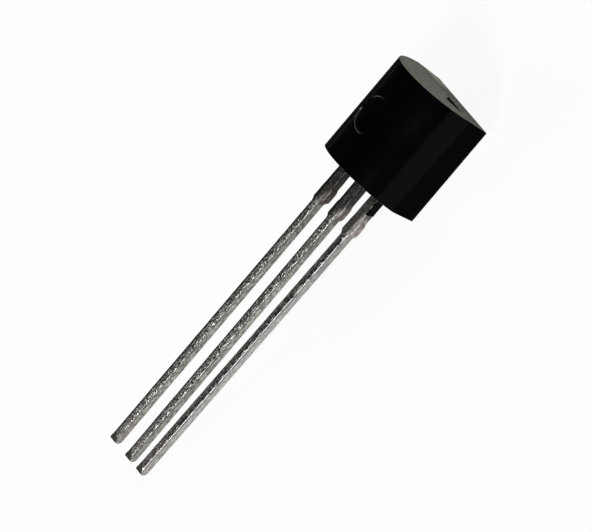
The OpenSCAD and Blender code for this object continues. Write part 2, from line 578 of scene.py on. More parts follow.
@dataclass(frozen=True)
class Clouds(Effect):
    """Broad, soft patches, as handling and moulding leave them."""

    name: str = "soft_patches"
    contrast: Span = (0.38, 0.62)

    def draw(self, at: Signal, size: Signal) -> list[Signal]:
        """One large, slightly twisted noise."""
        return [at.noise(1.0 / size, twist=0.4).ramp(*self.contrast)]


@dataclass(frozen=True)
class Broken(Effect):
    """An effect that keeps only the crests of a noise, more of them the more it covers."""

    bare: float = 0.0
    covered: float = 0.3
    edge: float = 0.08

    def crests(self, noise: Signal, cover: Signal) -> Signal:
        """The mask of those crests."""
        low = self.bare - cover * self.covered
        return noise.ramp(low, low + self.edge)


@dataclass(frozen=True)
class Scratches(Broken):
    """Fine lines along Z, as rolling and stamping leave them."""

    name: str = "drawn_lines"
    inputs: tuple[str, ...] = ("Vector", "Width", "Length", "Cover")
    outputs: tuple[str, ...] = ("Mask", "Height")
    bare: float = 0.72

    def draw(self, at: Signal, width: Signal, length: Signal, cover: Signal) -> list[Signal]:
        """Noise that is drawn out along Z, with only its crests kept.

        Args:
            at: The place.
            width: How wide a line is.
            length: How long a line is.
            cover: How many of them there are, from 0 to 1.

        Returns:
            Mask and height.
        """
        across = 1.0 / width
        line = at.stretched(at.graph.join(across, across, 1.0 / length)).noise(1.0, detail=1.5)
        return [self.crests(line, cover), line]


@dataclass(frozen=True)
class Specks(Effect):
    """Small round spots strewn about: pits, grains of dust or flecks."""

    name: str = "strewn_specks"
    inputs: tuple[str, ...] = ("Vector", "Size", "Cover")
    density: float = 0.5
    spread: float = 0.25
    least: float = 0.12
    core: float = 0.5

    def draw(self, at: Signal, size: Signal, cover: Signal) -> list[Signal]:
        """Cells of which only a share holds a spot, each of its own size.

        Args:
            at: The place.
            size: How large the largest spots are.
            cover: The share of the cells that hold one.

        Returns:
            The mask.
        """
        far, first, second, _ = at.moved(at.noise(1.0 / size)).cells(self.density / size)
        reach = second * self.spread + self.least
        return [first.maths("LESS_THAN", cover) * far.ramp(reach, reach * self.core)]


@dataclass(frozen=True)
class EdgeWear(Broken):
    """Burnish along rounded edges, broken up where they were spared."""

    name: str = "edge_wear"
    inputs: tuple[str, ...] = ("Vector", "Normal", "Size", "Cover")
    turn: Span = (0.97, 0.8)
    bare: float = 0.65

    def draw(self, at: Signal, normal: Signal, size: Signal, cover: Signal) -> list[Signal]:
        """Where the surface faces between two axes, times a broken noise."""
        x, y, z = (abs(part) for part in normal.split())
        return [(x | y | z).ramp(*self.turn)
                * self.crests(at.noise(1.0 / size, detail=3.0), cover)]


GRAIN, PEBBLES, CLOUDS = Grain(), Pebbles(), Clouds()
SCRATCHES, SPECKS, EDGE_WEAR = Scratches(), Specks(), EdgeWear()


# ---- How it lies ----


@dataclass(frozen=True)
class Rest:
    """How the upright package lies: on the flat face's lower edge and the leads' ends.

    Angles are in radians and lengths in millimetres.
    """

    tilt: float
    middle: float
    ground: float

    def matrix(self) -> Matrix:
        """From the upright package in millimetres to the ground's frame in metres."""
        turn = Matrix.Rotation(self.tilt - math.pi / 2, 4, "X")
        return Matrix.Scale(MM, 4) @ Matrix.Translation((0, -self.middle, -self.ground)) @ turn

    def lay(self, piece: Object) -> None:
        """Turns and shrinks an upright piece and applies that to its mesh."""
        piece.matrix_world = self.matrix()
        settle(piece)

    def direction(self, upright: Vector) -> Vector:
        """An upright direction, as it lies."""
        return (self.matrix().to_3x3() @ upright).normalized()


class Place:
    """A place as three numbers, on which regions are marked out."""

    def __init__(self, at: Signal) -> None:
        """Splits a vector into its numbers."""
        self.at, self.graph = at, at.graph
        self.x, self.y, self.z = at.split()

    def zone(self, limits: Zone) -> Signal:
        """A region's mask: 1 where all its edges are complete, 0 where one hasn't begun."""
        first, *others = (getattr(self, name).ramp(low, high) for name, low, high in limits)
        return math.prod(others, start=first)


class Ruler(Place):
    """Places and normals in a piece's own upright frame, in millimetres, for its material."""

    def __init__(self, graph: Graph, frame: Matrix) -> None:
        """Adds the nodes that turn a point of the row frame back.

        Args:
            graph: The material's graph.
            frame: From the piece's own frame in millimetres to the row frame in metres.
        """
        place, turn, size = frame.inverted().decompose()
        at, normal = (graph.result("ShaderNodeTexCoord", output=name)
                      for name in ("Object", "Normal"))
        super().__init__(graph.result("ShaderNodeMapping", at, place, turn.to_euler(), size,
                                      vector_type="POINT"))
        self.facing = graph.result("ShaderNodeMapping", normal, None, turn.to_euler(),
                                   vector_type="VECTOR")
        self.nx, self.ny, self.nz = self.facing.split()

    @property
    def sideways(self) -> Signal:
        """How much it faces along X, either way."""
        return abs(self.nx)

    @property
    def endways(self) -> Signal:
        """How much it faces along Z, either way."""
        return abs(self.nz)


def new_material(name: str) -> tuple[Material, Graph, Node]:
    """A new material.

    Args:
        name: Its name.

    Returns:
        The material, its graph and its Principled BSDF.
    """
    material = bpy.data.materials.new(name)
    material.use_nodes = True
    nodes = material.node_tree.nodes
    return material, Graph(material.node_tree), nodes["Principled BSDF"]


# ---- Finishes ----


class BodyRuler(Ruler):
    """The body's ruler, which also measures from its marks."""

    def __init__(self, graph: Graph, frame: Matrix, body: MouldedBody) -> None:
        """Adds the nodes for those measures.

        Args:
            graph: The material's graph.
            frame: From the upright package in millimetres to the row frame in metres.
            body: The body.
        """
        super().__init__(graph, frame)
        slope = math.tan(math.radians(body.back_draft))
        self.over_rim = abs(self.z) - body.top
        self.over_flat = self.y - body.flat_depth
        self.off_mark = graph.length(self.x, 0.0, self.z) - body.mark_radius
        self.along_gate = self.x - body.gate_start
        self.across_gate = self.y + body.gate_width
        self.above_end = self.z - self.y.maths("MULTIPLY_ADD", slope, body.top)


@dataclass(frozen=True)
class EpoxyFinish:
    """Black moulded resin: polished round its sides, spark-grained and paler at both ends,
    with painted light.

    A zone's edges name a measure of BodyRuler; sizes and places are in millimetres.
    """

    name: str = "black_epoxy"
    side: Colour = (0.0005, 0.0005, 0.0004)
    # Painted sheen: a bluish tint laid in clouds over the +X part of the round back.
    sheen: Colour = (0.0005, 0.0012, 0.0018)
    sheen_zone: Zone = (("x", 0.7, 1.3), ("x", 2.1, 1.9))
    sheen_clouds: Span = (0.5, 1.0)
    end_zone: Zone = (("endways", 0.6, 0.95),)
    # Painted light: the ends' back half is painted lit and their front half painted shaded, as
    # light from above falls on them.
    end_back: Colour = (0.134, 0.132, 0.113)
    end_front: Colour = (0.114, 0.113, 0.098)
    front_zone: Zone = (("y", -0.35, 0.35),)
    corner: Colour = (0.243, 0.24, 0.198)
    corner_zone: Zone = (("x", -0.7, -1.4), ("y", 0.1, 0.6), ("z", 0.0, 1.0))
    fleck: Colour = (0.03, 0.03, 0.025)
    fleck_back: float = 0.35
    fleck_front: float = 0.7
    fleck_corner: float = 0.35
    fleck_contrast: Span = (0.35, 0.65)
    fleck_grain: float = 0.35
    # Painted shade: the ends darken towards the flat face, on which the body lies.
    soot_zone: Zone = (("over_flat", -0.2, 0.0),)
    soot_share: float = 0.6
    worn: Colour = (0.06, 0.058, 0.05)
    worn_zone: Zone = (("over_rim", -0.25, -0.2),)
    worn_share: float = 0.25
    # Painted reflection: a dim violet band on part of the lip round the ejector mark, with a
    # painted glint across it.
    scuffed: Colour = (0.045, 0.041, 0.048)
    scuff_zone: Zone = (("off_mark", -0.04, 0.0), ("off_mark", 0.11, 0.07),
                        ("x", -0.5, -0.66), ("z", 0.0, -0.1), ("y", 0.0, -1.0))
    nicked: Colour = (0.2, 0.195, 0.2)
    nick_zone: Zone = (("z", -0.21, -0.18), ("z", -0.11, -0.14))
    broken: Colour = (0.036, 0.035, 0.03)
    broken_deep: Colour = (0.002, 0.002, 0.002)
    broken_zone: Zone = (("above_end", 0.0, 0.012), ("along_gate", -0.04, 0.0),
                         ("across_gate", -0.06, -0.02), ("nz", 0.85, 0.6))
    deep_left: Zone = (("along_gate", 0.25, 0.0),)
    deep_right: Zone = (("along_gate", 0.37, 0.62),)
    ior: float = 1.15
    side_roughness: Span = (0.16, 0.2)
    dull_roughness: float = 0.5
    dull_zone: Zone = (("nx", -0.55, -0.95),)
    end_roughness: float = 0.75
    broken_roughness: float = 0.9
    cloud_size: float = 1.6
    mottle_size: float = 0.16
    worn_size: float = 0.12
    worn_cover: float = 0.3
    grain_size: float = 0.08
    grain_depth: float = 0.004
    grain_strength: Span = (0.1, 1.0)

    def make(self, frame: Matrix, body: MouldedBody) -> Material:
        """Builds the material for a body.

        Args:
            frame: From the upright package in millimetres to the row frame in metres.
            body: The body.

        Returns:
            The material.
        """
        material, graph, surface = new_material(self.name)
        here = BodyRuler(graph, frame, body)
        grain = GRAIN.place(here.at, Size=self.grain_size)
        cloud = CLOUDS.place(here.at, Size=self.cloud_size)["Mask"]
        end, gate = here.zone(self.end_zone), here.zone(self.broken_zone)
        round_about = graph.join(graph.length(here.nx, here.ny, 0.0), 0.0, here.nz)
        worn = EDGE_WEAR.place(here.at, Normal=round_about, Size=self.worn_size,
                               Cover=self.worn_cover)["Mask"]
        # Painted sheen: a bluish tint over the +X part of the round back.
        sheen = here.zone(self.sheen_zone) * cloud.mix(*self.sheen_clouds)
        sides = graph.paint(self.side, (sheen, self.sheen))
        # Painted reflection and glint on the mark's lip.
        arc_reflection = graph.paint(self.scuffed, (here.zone(self.nick_zone), self.nicked))
        deep = here.zone(self.deep_left) | here.zone(self.deep_right)
        colour = graph.paint(
            sides, (end, self.end_colour(here, grain["Shade"])),
            (worn * here.zone(self.worn_zone) * self.worn_share, self.worn),
            (here.zone(self.scuff_zone), arc_reflection),
            (gate, graph.paint(self.broken, (deep, self.broken_deep))))
        rough = here.zone(self.dull_zone).mix(cloud.mix(*self.side_roughness),
                                              self.dull_roughness)
        rough = gate.mix(end.mix(rough, self.end_roughness), self.broken_roughness)
        height = grain["Height"] * end.mix(*self.grain_strength)
        graph.fill(surface, {"Base Color": colour, "Roughness": rough, "IOR": self.ior,
                             "Normal": graph.bump(height, self.grain_depth)})
        return material

    def end_colour(self, here: BodyRuler, grain: Signal) -> Signal:
        """The colour of the two ends, with painted light: the back half paler as lit from
        above, the half towards the flat face darker as painted shade.

        Args:
            here: The body's ruler.
            grain: The shade of the resin's grain.

        Returns:
            The colour.
        """
        # front: where the ends turn to painted shade.
        front, corner = here.zone(self.front_zone), here.zone(self.corner_zone)
        mottle = CLOUDS.place(here.at, Size=self.mottle_size)["Mask"]
        shade = here.graph.lerp(self.fleck_grain, mottle.ramp(*self.fleck_contrast), grain)
        flecks = corner.mix(front.mix(self.fleck_back, self.fleck_front), self.fleck_corner)
        return here.graph.paint(
            self.end_back, (front, self.end_front), (corner, self.corner),
            (flecks * shade, self.fleck),
            # painted shade towards the flat face
            (here.zone(self.soot_zone) * self.soot_share, self.fleck))


class LeadRuler(Ruler):
    """A lead's ruler, which also measures from where its width changes and from its tip."""

    def __init__(self, graph: Graph, frame: Matrix, sizes: LeadFrame) -> None:
        """Adds the nodes for those measures.

        Args:
            graph: The material's graph.
            frame: From the lead's own frame in millimetres to the row frame in metres.
            sizes: The sizes that the leads share.
        """
        super().__init__(graph, frame)
        self.over_tip = self.z + sizes.length
        self.over_tie = self.z + (sizes.root_length + sizes.tie_length)
        self.over_shoulder = self.z + sizes.root_length
        self.off_back = self.y - sizes.back
        self.wide = self.over_tie.ramp(*sizes.widening)
        self.across = self.x / self.wide.mix(sizes.width / 2, sizes.tie_width / 2)
        self.over_shear = (self.across.ramp(*sizes.shear_span) * sizes.shear_slant
                           + self.over_tip)


class LeadSurface(LeadRuler):
    """A lead's ruler with the patterns and regions of its finish, which run from 0 to 1."""

    def __init__(self, graph: Graph, frame: Matrix, sizes: LeadFrame,
                 finish: TinnedFinish) -> None:
        """Marks out the regions and places the patterns.

        Args:
            graph: The material's graph.
            frame: From the lead's own frame in millimetres to the row frame in metres.
            sizes: The sizes that the leads share.
            finish: The lead's finish.
        """
        super().__init__(graph, frame, sizes)
        self.side, self.tie = self.zone(finish.side_zone), self.zone(finish.tie_zone)
        self.end, self.cut = self.zone(finish.end_zone), self.zone(finish.cut_zone)
        self.level = self.zone(finish.level_zone)
        self.edge = self.zone(finish.edge_zone) * self.level
        moved = self.at.moved(tuple(finish.seed * part for part in finish.seed_way))
        drawn = moved.stretched(finish.grain_draw)
        self.pebbles = PEBBLES.place(drawn, Size=finish.pebble_size)
        fine = GRAIN.place(drawn, Size=finish.grain_size)["Shade"]
        self.shade = graph.lerp(finish.grain_share, self.pebbles["Shade"], fine).ramp(
            *finish.grain_contrast)
        self.patch = CLOUDS.place(drawn, Size=finish.patch_size)["Mask"]
        dapple = CLOUDS.place(moved.stretched(finish.dapple_draw), Size=finish.dapple_size)
        self.dapple = dapple["Mask"].ramp(*finish.dapple_contrast)
        self.lines = SCRATCHES.place(moved, Width=finish.line_width,
                                     Length=finish.line_length, Cover=finish.line_cover)
        # dashes: where the painted glints lie.
        self.dashes = SCRATCHES.place(moved.moved(finish.dash_shift), Width=finish.line_width,
                                      Length=finish.dash_length,
                                      Cover=finish.dash_cover)["Mask"]
        pits = SPECKS.place(drawn, Size=finish.pit_size,
                            Cover=self.wide.mix(*finish.pit_cover))
        holes = SPECKS.place(drawn, Size=finish.hole_size, Cover=finish.hole_cover)
        self.pits = pits["Mask"] | holes["Mask"] * self.wide * self.zone(finish.hole_zone)
        # Edge wear, which also carries the painted edge highlight.
        worn = EDGE_WEAR.place(moved.stretched(finish.edge_draw), Normal=self.facing,
                               Size=finish.edge_size, Cover=finish.edge_cover)
        self.worn = worn["Mask"] * self.edge


@dataclass(frozen=True)
class TinnedFinish:
    """Dull tin plating on a stamped lead, burnished on its edges and bare where it was cut,
    with painted highlights and shade.

    A zone's edges name a measure of LeadRuler. Sizes and places are in millimetres, apart from
    across, which runs from -1 on the lead's left side to 1 on its right, and what it faces.
    """

    name: str = "tinned_lead"
    seed: float = 0.0
    # Plain faces.
    tin: Colour = (0.75, 0.75, 0.715)
    dull: Colour = (0.034, 0.034, 0.03)
    dull_patch: float = 0.2
    pit: Colour = (0.01, 0.01, 0.009)
    pit_share: float = 0.85
    # Painted shade: a dark band on the faces towards their right edge, beside the painted edge
    # highlight, with the scratch lines there drawn dark.
    gutter: float = 0.15
    gutter_lines: float = 0.8
    gutter_zone: Zone = (("across", -0.2, 0.55), ("nx", 0.5, 0.3))
    # Painted shade: a dark band along the left edge, for the dark surroundings that this edge
    # reflects.
    grime: float = 0.8
    grime_zone: Zone = (("across", 0.0, -0.55), ("nx", -0.98, -0.8))
    blush: Colour = (0.3, 0.25, 0.245)
    blush_patch: Span = (0.25, 0.6)
    end_zone: Zone = (("over_tip", 2.6, 0.4),)
    # Sides.
    side: Colour = (0.7, 0.7, 0.64)
    side_dull: Colour = (0.16, 0.165, 0.145)
    side_zone: Zone = (("sideways", 0.6, 0.9),)
    side_depth: Span = (0.1, 0.36)
    side_deep: float = 0.15
    side_dapple: float = 0.4
    side_mottle: float = 0.85
    # Painted shade: the sides darken towards the body, where the body and the next leads shade
    # them.
    upper_zone: Zone = (("z", -6.5, -2.3),)
    upper_share: float = 0.55
    seam: Colour = (0.06, 0.06, 0.055)
    seam_zone: Zone = (("nx", 0.8, 0.9), ("off_back", 0.1, 0.06))
    seam_shades: Span = (0.9, 0.3)
    # Roots.
    root: Colour = (0.07, 0.069, 0.059)
    root_share: float = 0.88
    # Painted shade: the root's right side is painted brown-dark, as it reflects the shaded
    # floor and the next lead.
    brown: Colour = (0.045, 0.036, 0.033)
    brown_zone: Zone = (("across", 0.1, 0.8),)
    root_gaps: float = 0.6
    # Painted shade: the root darkens where it meets the resin, in the body's shadow.
    resin_zone: Zone = (("z", -0.7, -0.15),)
    resin_share: float = 0.6
    # Stubs of the tie bar, and the necks below them, which carry a painted highlight.
    # Bare metal where the tie bar was sheared; each lead's value also holds painted light,
    # darkest on base and palest on emitter, after how lit the floor is that its stub reflects.
    bare: Colour = (0.16, 0.135, 0.125)
    bare_deep: float = 0.6
    bare_zone: Zone = (("across", 0.6, 0.95),)
    bare_matt: float = 0.0
    tie_zone: Zone = (("over_tie", -0.3, -0.1), ("over_shoulder", 0.25, -0.15))
    neck_shine: float = 0.5
    neck_share: float = 0.35
    neck_shades: Span = (0.5, 1.0)
    neck_zone: Zone = (("nx", 0.1, 0.35), ("nx", 0.98, 0.85))
    shoulder_shades: Span = (0.4, 0.8)
    shoulder_zone: Zone = (("over_tie", -0.4, -0.15), ("over_tie", 0.45, 0.15),
                           ("across", 0.3, 0.55), ("across", 0.95, 0.75))
    tie_edge_shades: Span = (0.05, 0.25)
    # Burnished edges, with a painted highlight on them and painted glints beside them.
    bright: Colour = (0.96, 0.96, 0.94)
    level_zone: Zone = (("endways", 0.3, 0.12),)
    edge_zone: Zone = (("nx", 0.35, 0.5), ("nx", 0.85, 0.75))
    edge_cover: float = 0.37
    edge_size: float = 0.1
    glint_zone: Zone = (("across", 0.25, 0.6),)
    glint_side: Span = (0.5, 0.0)
    root_burnish: float = 0.1
    end_burnish: float = 0.6
    # Sheared tips.
    cut: Colour = (0.05, 0.055, 0.048)
    cut_share: float = 0.95
    cut_grain: float = 0.5
    cut_zone: Zone = (("over_shear", 0.41, 0.37), ("across", 1.2, 0.95), ("nx", 0.7, 0.45))
    # Painted highlight: a bright spot near the tip.
    tip_spot: float = 0.0
    spot_zone: Zone = (("over_tip", 0.34, 0.27), ("over_tip", 0.1, 0.15),
                       ("nx", 0.15, 0.35), ("nx", 0.95, 0.85))
    # Gloss and relief.
    metallic: float = 0.75
    plain_metallic: float = 0.1
    roughness: Span = (0.5, 0.36)
    bright_roughness: float = 0.3
    pit_roughness: float = 0.6
    ior: float = 1.25
    grazing: Colour = (0.25, 0.25, 0.25)
    relief: float = 0.011
    line_relief: float = 0.3
    pit_relief: float = 0.5
    side_relief: float = 0.4
    # Patterns: where they begin, how they are drawn out along the lead, and their sizes.
    seed_way: Triple = (1.0, 0.0, 3.0)
    grain_draw: Triple = (1.0, 1.0, 0.6)
    dapple_draw: Triple = (1.0, 1.0, 0.45)
    edge_draw: Triple = (1.0, 1.0, 0.3)
    pebble_size: float = 0.055
    grain_size: float = 0.065
    grain_share: float = 0.5
    grain_contrast: Span = (0.1, 0.75)
    patch_size: float = 0.5
    dapple_size: float = 0.11
    dapple_contrast: Span = (0.3, 0.7)
    line_width: float = 0.04
    line_length: float = 0.5
    line_cover: float = 0.6
    dash_length: float = 0.16
    dash_cover: float = 0.5
    dash_shift: Triple = (5.0, 0.0, 0.0)
    pit_size: float = 0.045
    pit_cover: Span = (0.16, 0.55)
    hole_size: float = 0.17
    hole_cover: float = 0.5
    hole_zone: Zone = (("across", -0.6, -0.2),)

    def make(self, frame: Matrix, lead: Lead, sizes: LeadFrame) -> Material:
        """Builds the material for one lead.

        Args:
            frame: From the lead's own frame in millimetres to the row frame in metres.
            lead: The lead.
            sizes: The sizes that the leads share.

        Returns:
            The material.
        """
        material, graph, surface = new_material(f"{self.name}_{lead.name}")
        here = LeadSurface(graph, frame, sizes, self)
        # pale: the painted highlight on the neck, the shoulder and the tie's edge.
        stub, pale = here.tie * here.zone(self.bare_zone), self.pale(here)
        burnish, bare_deep = self.burnish(here), tuple(self.bare_deep * x for x in self.bare)
        colour = graph.paint(
            self.face_colour(here), (here.side, self.side_colour(here)),
            (here.end * here.patch.mix(*self.blush_patch), self.blush),
            (here.wide * self.root_share, self.root_colour(here)),
            (stub, graph.paint(self.bare, (here.dapple, bare_deep))), (pale, self.tin),
            # Painted shade along the left edge.
            (here.zone(self.grime_zone) * self.grime, self.pit),
            (here.pits * self.pit_share, self.pit),
            (here.cut * self.cut_share,
             graph.paint(self.cut, (here.shade * self.cut_grain, self.pit))),
            # Painted highlight on the burnished edges, the glints and the tip.
            (burnish, self.bright))
        rough = burnish.mix(here.shade.mix(*self.roughness), self.bright_roughness)
        rough = (here.pits | here.cut).mix(rough, self.pit_roughness)
        metallic = (stub * self.bare_matt | burnish | pale).mix(self.metallic,
                                                                self.plain_metallic)
        height = here.lines["Height"] * self.line_relief + here.pebbles["Height"]
        height = (height - here.pits * self.pit_relief) * here.side.mix(1.0, self.side_relief)
        graph.fill(surface, {
            "Base Color": colour, "Roughness": rough, "Metallic": metallic, "IOR": self.ior,
            "Specular Tint": self.grazing, "Normal": graph.bump(height, self.relief)})
        return material

    def pale(self, here: LeadSurface) -> Signal:
        """Where the neck, the shoulder and the tie's edge get a painted highlight.

        Args:
            here: The lead's surface.

        Returns:
            The mask.
        """
        neck = (here.tie * here.level * here.zone(self.neck_zone)
                * here.dapple.mix(*self.neck_shades) * (self.neck_shine * self.neck_share))
        shoulder = (here.zone(self.shoulder_zone) * here.level * ~here.side
                    * here.dapple.mix(*self.shoulder_shades) * self.neck_shine)
        return neck | shoulder | here.tie * here.edge * here.shade.mix(*self.tie_edge_shades)

    def burnish(self, here: LeadSurface) -> Signal:
        """Where the edges are burnished and carry a painted highlight, with short painted
        glints beside them and a painted highlight at the tip.

        Args:
            here: The lead's surface.

        Returns:
            The mask.
        """
        tip_glint = here.zone(self.spot_zone) * self.tip_spot
        glints = here.dashes * here.zone(self.glint_zone) * here.side.ramp(*self.glint_side)
        edges = (here.worn | glints) * here.wide.mix(1.0, self.root_burnish)
        return tip_glint | edges * ~here.cut * here.end.mix(1.0, self.end_burnish)

    def face_colour(self, here: LeadSurface) -> Signal:
        """The colour of the front and the back, pebbled and with a dark band of painted shade
        on one side.

        Args:
            here: The lead's surface.

        Returns:
            The colour.
        """
        lines = here.lines["Mask"] * self.gutter_lines | self.gutter
        return here.graph.paint(
            self.dull, (here.shade, self.tin), (here.patch * self.dull_patch, self.dull),
            (lines * here.zone(self.gutter_zone), self.pit))

    def side_colour(self, here: LeadSurface) -> Signal:
        """The colour of the sides, with the seam that stamping left near the back and painted
        shade towards the body.

        Args:
            here: The lead's surface.

        Returns:
            The colour.
        """
        mottle = here.graph.lerp(self.side_dapple, here.dapple, here.shade)
        deep = (here.off_back.ramp(*self.side_depth) * self.side_deep
                + mottle * self.side_mottle)
        return here.graph.paint(
            self.side, (deep, self.side_dull),
            (here.zone(self.seam_zone) * here.shade.mix(*self.seam_shades), self.seam),
            (here.zone(self.upper_zone) * self.upper_share, self.side_dull))

    def root_colour(self, here: LeadSurface) -> Signal:
        """The colour of the root, with painted shade: brown-dark on one side and dark where
        the resin begins.

        Args:
            here: The lead's surface.

        Returns:
            The colour.
        """
        return here.graph.paint(
            self.root, (here.zone(self.brown_zone), self.brown),
            (~here.shade * self.root_gaps, self.pit),
            (here.zone(self.resin_zone) * self.resin_share, self.pit))


@dataclass(frozen=True)
class HiddenFinish:
    """Plain but real finish for what the resin hides: a base colour under a fine grain."""

    name: str
    colour: Colour
    second: Colour
    roughness: float
    metallic: float
    grain: float = 0.02
    depth: float = 0.001
    rougher: float = 0.1

    def make(self, frame: Matrix) -> Material:
        """Builds the material.

        Args:
            frame: From the upright package in millimetres to the row frame in metres.

        Returns:
            The material.
        """
        material, graph, surface = new_material(self.name)
        grain = GRAIN.place(Ruler(graph, frame).at, Size=self.grain)
        graph.fill(surface, {
            "Base Color": graph.paint(self.colour, (grain["Shade"], self.second)),
            "Roughness": grain["Shade"].mix(self.roughness, self.roughness + self.rougher),
            "Metallic": self.metallic, "Normal": graph.bump(grain["Height"], self.depth)})
        return material


# ---- Leads ----


@dataclass(frozen=True)
class Lead:
    """One lead, with what stamping and handling left different on it, and with painted light
    in its finish.
    """

    name: str
    column: int
    lean: float = 0.0
    root_offset: float = 0.0
    tie_offset: float = 0.0
    block_width: float = 0.7
    block_height: float = 0.8
    finish: TinnedFinish = TinnedFinish()


# Their finishes also differ in painted light, such as the shade on their stubs, roots and left
# edges.
BASE = Lead("base", column=-1, lean=0.2, root_offset=0.005, tie_offset=0.035,
            finish=TinnedFinish(seed=3.1, grime=0.97))
COLLECTOR = Lead(
    "collector", column=0, root_offset=-0.01, block_width=1.4, block_height=1.5,
    finish=TinnedFinish(seed=7.7, edge_cover=0.42, neck_shine=0.8, tin=(0.82, 0.82, 0.79),
                        root=(0.105, 0.103, 0.09), bare=(0.32, 0.29, 0.277)))
EMITTER = Lead(
    "emitter", column=1, lean=1.2, root_offset=-0.045, tie_offset=-0.02,
    finish=TinnedFinish(
        seed=12.3, edge_cover=0.85, grime=0.1, gutter=0.8, root_burnish=0.5, bare_matt=1.0,
        bare_zone=(("across", 0.1, 0.45),), tip_spot=1.0,
        tie_zone=(("over_tie", -0.3, -0.1), ("over_shoulder", 0.5, 0.1)),
        tin=(0.33, 0.33, 0.3), dull=(0.06, 0.06, 0.055), side=(0.62, 0.63, 0.6),
        side_dull=(0.3, 0.31, 0.29), root=(0.17, 0.166, 0.15), brown=(0.15, 0.125, 0.115),
        bare=(0.38, 0.34, 0.327)))


@dataclass(frozen=True)
class LeadFrame:
    """The three leads, stamped from one sheet. Millimetres and degrees.

    Base is Z of the body's lower end, where the leads come out.
    """

    base: float
    pitch: float = 1.27
    length: float = 14.33
    width: float = 0.41
    thickness: float = 0.36
    edge: float = 0.07
    edge_segments: int = 4
    edge_angle: float = 45.0
    setback: float = 0.15
    root_width: float = 0.58
    root_length: float = 1.22
    tie_width: float = 0.67
    tie_length: float = 0.52
    widening: Span = (-0.3, 0.1)
    neck_length: float = 0.22
    neck_drop: float = 0.03
    neck_skew: float = 0.07
    shoulder: float = 0.2
    shoulder_skew: float = 0.04
    anchor_length: float = 1.6
    tip_slope_height: float = 0.17
    tip_slope_depth: float = 0.16
    tip_draw_height: float = 0.22
    tip_draw_depth: float = 0.06
    tip_flare: float = 0.03
    flare_length: float = 0.15
    shear_span: Span = (-0.6, 1.1)
    shear_slant: float = 0.2
    leg_step: float = 0.12
    neck_step: float = 0.035
    tip_step: float = 0.05
    waviness: float = 0.012
    wave_size: float = 0.3
    wave_level: float = 0.6
    plain_root: float = 0.1
    crease: float = 40.0
    leads: tuple[Lead, ...] = (BASE, COLLECTOR, EMITTER)

    @property
    def front(self) -> float:
        """Y of the leads' front."""
        return -self.setback + self.thickness / 2

    @property
    def back(self) -> float:
        """Y of the leads' back."""
        return -self.setback - self.thickness / 2

    @property
    def neck_end(self) -> float:
        """Z of the neck's middle, where it ends in the leg."""
        return -(self.root_length + self.tie_length) - self.neck_length - self.neck_drop

    @property
    def inner_end(self) -> float:
        """Z of where the leads widen to their blocks."""
        return self.base + self.anchor_length

    def local(self, lead: Lead) -> Matrix:
        """From a lead's own frame, whose origin is where it leaves the body, to upright."""
        turn = Matrix.Rotation(math.radians(lead.lean), 4, "Y")
        return Matrix.Translation((lead.column * self.pitch, 0, self.base)) @ turn

    def sides(self, lead: Lead, z: float) -> tuple[float, float]:
        """X of a lead's left and right side.

        Args:
            lead: The lead.
            z: The height, in the lead's own frame.

        Returns:
            Both places.
        """
        high = -self.root_length - self.shoulder / 2
        found = []
        for way in (-1, 1):
            leg = way * self.width / 2
            tie = lead.tie_offset + way * self.tie_width / 2
            root = lead.root_offset + way * self.root_width / 2
            neck = ease((z - self.neck_end - way * self.neck_skew) / self.neck_length)
            shoulder = ease((z - high - way * self.shoulder_skew) / self.shoulder)
            found.append((leg + neck * (tie - leg)) * (1 - shoulder) + shoulder * root)
        flare = ease((self.tip_draw_height - self.length - z) / self.flare_length)
        return found[0] - self.tip_flare * flare, found[1]

    def heights(self) -> list[float]:
        """Heights of the rings that a lead is drawn out through.

        Returns:
            The heights, from its end to its anchor.
        """
        low = self.neck_end - self.neck_skew
        high = -self.root_length + self.shoulder / 2 + self.shoulder_skew
        flared = self.tip_draw_height - self.length
        return (ladder(-self.length, flared, self.tip_step)
                + ladder(flared, low, self.leg_step) + ladder(low, high, self.neck_step)
                + ladder(high, 0, self.leg_step) + [0.0, self.anchor_length])

    def draw_out(self, lead: Lead) -> Object:
        """Draws a lead out of a plane, ring by ring, from its end to its block in the body.

        Args:
            lead: The lead.

        Returns:
            The mesh object.
        """
        start = (0, -self.setback, -self.length)
        left, right = self.sides(lead, -self.length)
        bpy.ops.mesh.primitive_plane_add(size=1, location=start)
        piece = bpy.context.object
        with editing(piece):
            widen((right - left, self.thickness, 1), start)
            before = (left, right, -self.length)
            for z in self.heights()[1:]:
                left, right = self.sides(lead, z)
                middle = ((left + right) - (before[0] + before[1])) / 2
                push((middle, 0, z - before[2]))
                widen(((right - left) / (before[1] - before[0]), 1, 1),
                      ((left + right) / 2, 0, 0))
                before = (left, right, z)
        piece.matrix_world = self.local(lead) @ piece.matrix_world
        settle(piece)
        return piece

    def add_block(self, piece: Object, lead: Lead) -> None:
        """Widens a lead's inner end to the block that holds it in the resin.

        Args:
            piece: The lead's mesh object.
            lead: The lead.
        """
        top = self.inner_end
        with editing(piece):
            pick(piece, Part.FACES, lambda f: f.calc_center_median().z > top - self.edge)
            corners = picked(piece)
            middle = sum(corners, Vector()) / len(corners)
            widen((1, 1, 0), middle)
            shift((0, 0, top - middle.z))
            places = [corner.x for corner in picked(piece)]
            push((0, 0, 0))
            widen((lead.block_width / (max(places) - min(places)), 1, 1), (middle.x, 0, 0))
            shift((lead.column * self.pitch - middle.x, 0, 0))
            push((0, 0, lead.block_height))

    def round_edges(self, piece: Object) -> None:
        """Rounds the four long edges of a lead, up to its block.

        Args:
            piece: The lead's mesh object.
        """
        def long_edge(edge: bmesh.types.BMEdge) -> bool:
            """Whether an edge is one of those."""
            low, high = sorted(v.co.z for v in edge.verts)
            return (high - low > NEARLY and high < self.inner_end + NEARLY
                    and edge.calc_face_angle(0) > math.radians(self.edge_angle))

